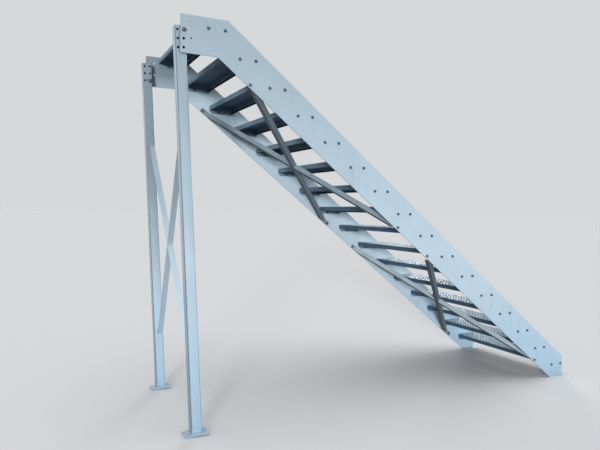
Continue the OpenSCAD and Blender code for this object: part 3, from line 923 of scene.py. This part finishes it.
def makeLeg(name, side, row, paint):
    g = legSet
    half = g["side"] / 2
    bottom, top = g["baseThick"] - soleDrop(row), g["top"]
    bm = bmesh.new()
    outer, inner = roundSquare(half, g["corner"]), roundSquare(half - g["wall"], g["corner"] - g["wall"])
    rings = []
    for pts, z in ((outer, bottom), (outer, top), (inner, top), (inner, bottom)):
        rings.append([bm.verts.new((x, y, z)) for x, y in pts])
    for k in range(4):
        ringFaces(bm, rings[k], rings[(k + 1) % 4])
    mesh = toMesh(name, bm)
    leg = bpy.data.objects.new("legBlank", mesh)
    cut = bmesh.new()
    across = Matrix.Rotation(math.pi / 2, 4, "X")
    # two columns of bolt holes, cut through both walls
    for column in (-1, 1):
        for k in range(g["rows"]):
            hole = disc([(g["hole"] / 2, -g["side"]), (g["hole"] / 2, g["side"])], 32)
            join(cut, hole, Matrix.Translation((column * g["gauge"] / 2, 0, -k * g["pitch"])) @ across)
            hole.free()
    cutter = bpy.data.objects.new("legHoles", toMesh("legHoles", cut))
    for obj in (leg, cutter):
        scene.collection.objects.link(obj)
    mod = leg.modifiers.new("holes", "BOOLEAN")
    mod.object, mod.solver = cutter, "EXACT"
    bpy.context.view_layer.update()
    done = bpy.data.meshes.new_from_object(leg.evaluated_get(bpy.context.evaluated_depsgraph_get()))
    for obj in (leg, cutter):
        bpy.data.objects.remove(obj)
    done.name = name
    # the inside of the tube was never painted
    done.materials.clear()
    for mat in (paint, rawInside):
        done.materials.append(mat)
    lining = half - g["wall"] + 0.0001
    spots = [v.co for v in done.vertices]
    for face in done.polygons:
        inside = all(max(abs(spots[v].x), abs(spots[v].y)) < lining for v in face.vertices)
        face.material_index = 1 if inside else 0
    return addPiece(name, done, paint, tubeFrame(side, row), smooth=30)


def makeFootWeld(name, side, row):
    # the fillet weld round the foot of the leg
    g = legSet
    half, z = g["side"] / 2, g["baseThick"] - soleDrop(row)
    onFlat = half - 0.001
    path = []
    for x, y in roundSquare(half, g["corner"], 3):
        if abs(x) > onFlat:
            out = Vector((math.copysign(1, x), 0, 0))
        elif abs(y) > onFlat:
            out = Vector((0, math.copysign(1, y), 0))
        else:
            out = Vector((x, y, 0)).normalized()
        path.append((Vector((x, y, z)), out, Vector((0, 0, 1))))
    bead = weldBead(path, g["weld"], g["weldSeed"] + row, closed=True)
    addPiece(name, toMesh("footWeld", bead), weldedPaint, tubeFrame(side, row), smooth=60)


for word, side, row in legSet["parts"]:
    leg = makeLeg("leg%sTube" % word.capitalize(), side, row, legPaint[word])
    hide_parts("leg_" + word)
    makeFootWeld("footWeld%s" % word.capitalize(), side, row)
print("legs made")


# bolts: across flats, heights, diameters, and how far the thread stands out of the nut
boltSet = {
    "small": {"flats": 0.017, "head": 0.0075, "nut": 0.010, "shank": 0.012, "tip": 0.005,
              "washer": 0.023, "washerThick": 0.0025},
    "leg": {"flats": 0.024, "head": 0.010, "nut": 0.013, "shank": 0.016, "tip": 0.006,
            "washer": 0.030, "washerThick": 0.003},
    "threadPitch": 0.00175, "threadRoot": 0.86, "threadPoint": 0.72,
}


def washerWith(b, height):
    # a washer with a hexagon on it, turned by chance
    r, thick = b["washer"] / 2, b["washerThick"]
    c = thick * 0.3
    bm = disc([(r - c, 0), (r, c), (r, thick - c), (r - c, thick)])
    # the washer takes the near-black painted shade
    for face in bm.faces:
        face.material_index = 1
    turned = Matrix.Rotation(dice.uniform(0, math.pi / 3), 4, "Z")
    hexagon = boltHead(b["flats"], height)
    join(bm, hexagon, Matrix.Translation((0, 0, thick)) @ turned)
    hexagon.free()
    return bm


def threadEnd(diameter, length):
    pitch, crest = boltSet["threadPitch"], diameter / 2
    root = crest * boltSet["threadRoot"]
    profile = [(root, 0.0)]
    z = 0.0
    while z < length - pitch:
        profile += [(crest, z + pitch * 0.5), (root, z + pitch)]
        z += pitch
    profile.append((crest * boltSet["threadPoint"], length))
    return disc(profile, 16)


def headSet(b):
    return washerWith(b, b["head"])


def nutSet(b):
    bm = washerWith(b, b["nut"])
    tip = threadEnd(b["shank"], b["tip"])
    join(bm, tip, Matrix.Translation((0, 0, b["washerThick"] + b["nut"])))
    tip.free()
    return bm


def facing(side):
    # turns +Z to face +Y or -Y
    return Matrix.Rotation(-side * math.pi / 2, 4, "X")


def addBolts(name, bm):
    mesh = toMesh(name, bm, merge=0.000001)
    for mat in (boltZinc, washerShadeZinc):
        mesh.materials.append(mat)
    return addPiece(name, mesh, boltZinc, smooth=30)


def joinAt(bm, piece, x, y, z, way):
    join(bm, piece, Matrix.Translation((x, y, z)) @ facing(way))
    piece.free()


def boltRow(name, places, side, inner):
    outer = stair["halfClear"] + stair["plate"]
    heads, nuts = bmesh.new(), bmesh.new()
    for x, z in places:
        joinAt(heads, headSet(boltSet["small"]), x, side * outer, z, side)
        joinAt(nuts, nutSet(boltSet["small"]), x, side * inner, z, -side)
    addBolts(name + "Heads", heads)
    addBolts(name + "Nuts", nuts)


# bolt places of the flight braces, measured down the flight from the top tread's rear bolt
braceSet = {"run": 3.450, "start": 0.309, "end": 0.234, "gap": 0.307, "edge": 0.018, "thick": 0.004}


def braceBolts(b):
    bay = (b["run"] - b["start"] - b["gap"] - b["end"]) / 2
    second = b["start"] + bay + b["gap"]
    return [b["start"], b["start"] + bay, second, second + bay]


braceDrop = (stair["stringerDepth"] - stair["holeLineDrop"] - braceSet["edge"]) / math.cos(slope)
treadPlaces = [(topX + i * stair["going"] + x, holeLine(i * stair["going"]))
               for i in range(stair["treads"]) for x in (0.0, stair["boltPitch"])]
bracePlaces = [(topX + x, holeLine(x) - braceDrop) for x in braceBolts(braceSet)]
endPlateFace = stair["halfClear"] - stair["seatGap"] - treadSet["endThick"]
for word, side in (("Left", -1), ("Right", 1)):
    boltRow("treadBolts" + word, treadPlaces, side, endPlateFace)
    boltRow("braceBolts" + word, bracePlaces, side, stair["halfClear"] - braceSet["thick"])


def makeLegBolt(name, side, row):
    # its head is outside the stringer and its nut on the leg's inner face
    g, b = legSet, boltSet["leg"]
    x, z = topX + g["holeX"], topZ - g["holeDrop"] - (row - 1) * g["pitch"]
    outer, inner = side * (stair["halfClear"] + stair["plate"]), side * (stair["halfClear"] - g["side"])
    shank = disc([(b["shank"] / 2, 0), (b["shank"] / 2, g["side"] + stair["plate"])], 20)
    bm = bmesh.new()
    joinAt(bm, headSet(b), x, outer, z, side)
    joinAt(bm, nutSet(b), x, inner, z, -side)
    joinAt(bm, shank, x, inner, z, side)
    return addBolts(name, bm)


for word, side, row in legSet["parts"]:
    bolt = makeLegBolt("legBolt" + word.capitalize(), side, row)
    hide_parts("leg_bolt_" + word)
print("bolts made")


# the other frame parts keep their solids and get softened edges and a finish
softEdge = {"plate": 0.0006, "angle": 0.0005, "segments": 2, "from": 35, "merge": 0.00001}


def dressNode(name, mat, edge=softEdge["plate"]):
    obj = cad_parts[name]
    obj.data.materials.clear()
    obj.data.materials.append(mat)
    weld = obj.modifiers.new("join", "WELD")
    weld.merge_threshold = softEdge["merge"]
    soft = obj.modifiers.new("soften", "BEVEL")
    soft.width, soft.segments, soft.limit_method = edge, softEdge["segments"], "ANGLE"
    soft.angle_limit = math.radians(softEdge["from"])
    soft.use_clamp_overlap = False
    soft.harden_normals = False


for name in ("stringer_left", "stringer_right"):
    dressNode(name, stringerPaint)
for name in ("foot_flange_left", "foot_flange_right", "base_plate_left", "base_plate_right",
             "leg_brace_through", "leg_brace_upper", "leg_brace_lower"):
    dressNode(name, weldedPaint)
for bay in (1, 2):
    for word in ("through", "upper", "lower"):
        # the bars of bay 1 and the through bars take the darker copy of the brace zinc
        darkerBar = bay == 1 or word == "through"
        dressNode("brace_%d_%s" % (bay, word), dullZinc if darkerBar else braceZinc, softEdge["angle"])
print("frame parts dressed")


# floor, backdrop and light; what is seen and mirrored is pale, what lights the stair is darker
stageSet = {
    "reach": 150, "shown": (0.69, 0.70, 0.71), "lit": (0.075, 0.10, 0.13), "rough": 0.9, "shine": 0.0,
    "skyShown": (0.672, 0.690, 0.701), "sky": (0.95, 0.98, 1.0), "skyStrength": 0.30,
}
# each sun's strength, spread in degrees, and the way it shines
lamps = {
    "keySun": (3.1, 12, (0.52, 0.85, -0.11)),
    "topSun": (1.6, 70, (0.15, 0.1, -1.0)),
    "fillSun": (1.7, 18, (-0.55, -0.82, -0.16)),
}


def seenRay(tree, at):
    # 1 for rays from the camera, from a glossy surface or through glass
    path = addNode(tree, "ShaderNodeLightPath", at)
    seen = mathNode(tree, "MAXIMUM", path.outputs["Is Camera Ray"], path.outputs["Is Glossy Ray"],
                    (at[0] + 200, at[1]))
    return mathNode(tree, "MAXIMUM", seen, path.outputs["Is Transmission Ray"], (at[0] + 400, at[1]))


def makeStage(s):
    mesh = bpy.data.meshes.new("floor")
    far = s["reach"]
    verts = [(-far, -far, 0), (far, -far, 0), (far, far, 0), (-far, far, 0)]
    mesh.from_pydata(verts, [], [(0, 1, 2, 3)])
    floor = bpy.data.objects.new("floor", mesh)
    scene.collection.objects.link(floor)
    mat, tree, shader = startMaterial("paleFloor")
    colour = mixColour(tree, seenRay(tree, (-700, 0)), s["lit"], s["shown"], (0, 0))
    feed(shader.inputs["Base Color"], colour)
    feed(shader.inputs["Roughness"], s["rough"])
    feed(shader.inputs["Specular IOR Level"], s["shine"])
    mesh.materials.append(mat)


def makeLight(s):
    scene.view_settings.view_transform = "Standard"
    world = bpy.data.worlds.new("studio")
    scene.world = world
    world.use_nodes = True
    tree = world.node_tree
    sky = tree.nodes["Background"]
    shown = addNode(tree, "ShaderNodeBackground", (0, -200))
    for node, colour, strength in ((sky, s["sky"], s["skyStrength"]), (shown, s["skyShown"], 1.0)):
        feed(node.inputs["Color"], colour)
        feed(node.inputs["Strength"], strength)
    blend = addNode(tree, "ShaderNodeMixShader", (250, 0))
    feed(blend.inputs[0], seenRay(tree, (-600, 200)))
    feed(blend.inputs[1], sky.outputs[0])
    feed(blend.inputs[2], shown.outputs[0])
    feed(tree.nodes["World Output"].inputs[0], blend.outputs[0])
    for name, (energy, spread, aim) in lamps.items():
        data = bpy.data.lights.new(name, "SUN")
        data.energy, data.angle = energy, math.radians(spread)
        obj = bpy.data.objects.new(name, data)
        scene.collection.objects.link(obj)
        obj.rotation_euler = Vector(aim).to_track_quat("-Z", "Y").to_euler()


makeStage(stageSet)
makeLight(stageSet)
print("stage and light made")
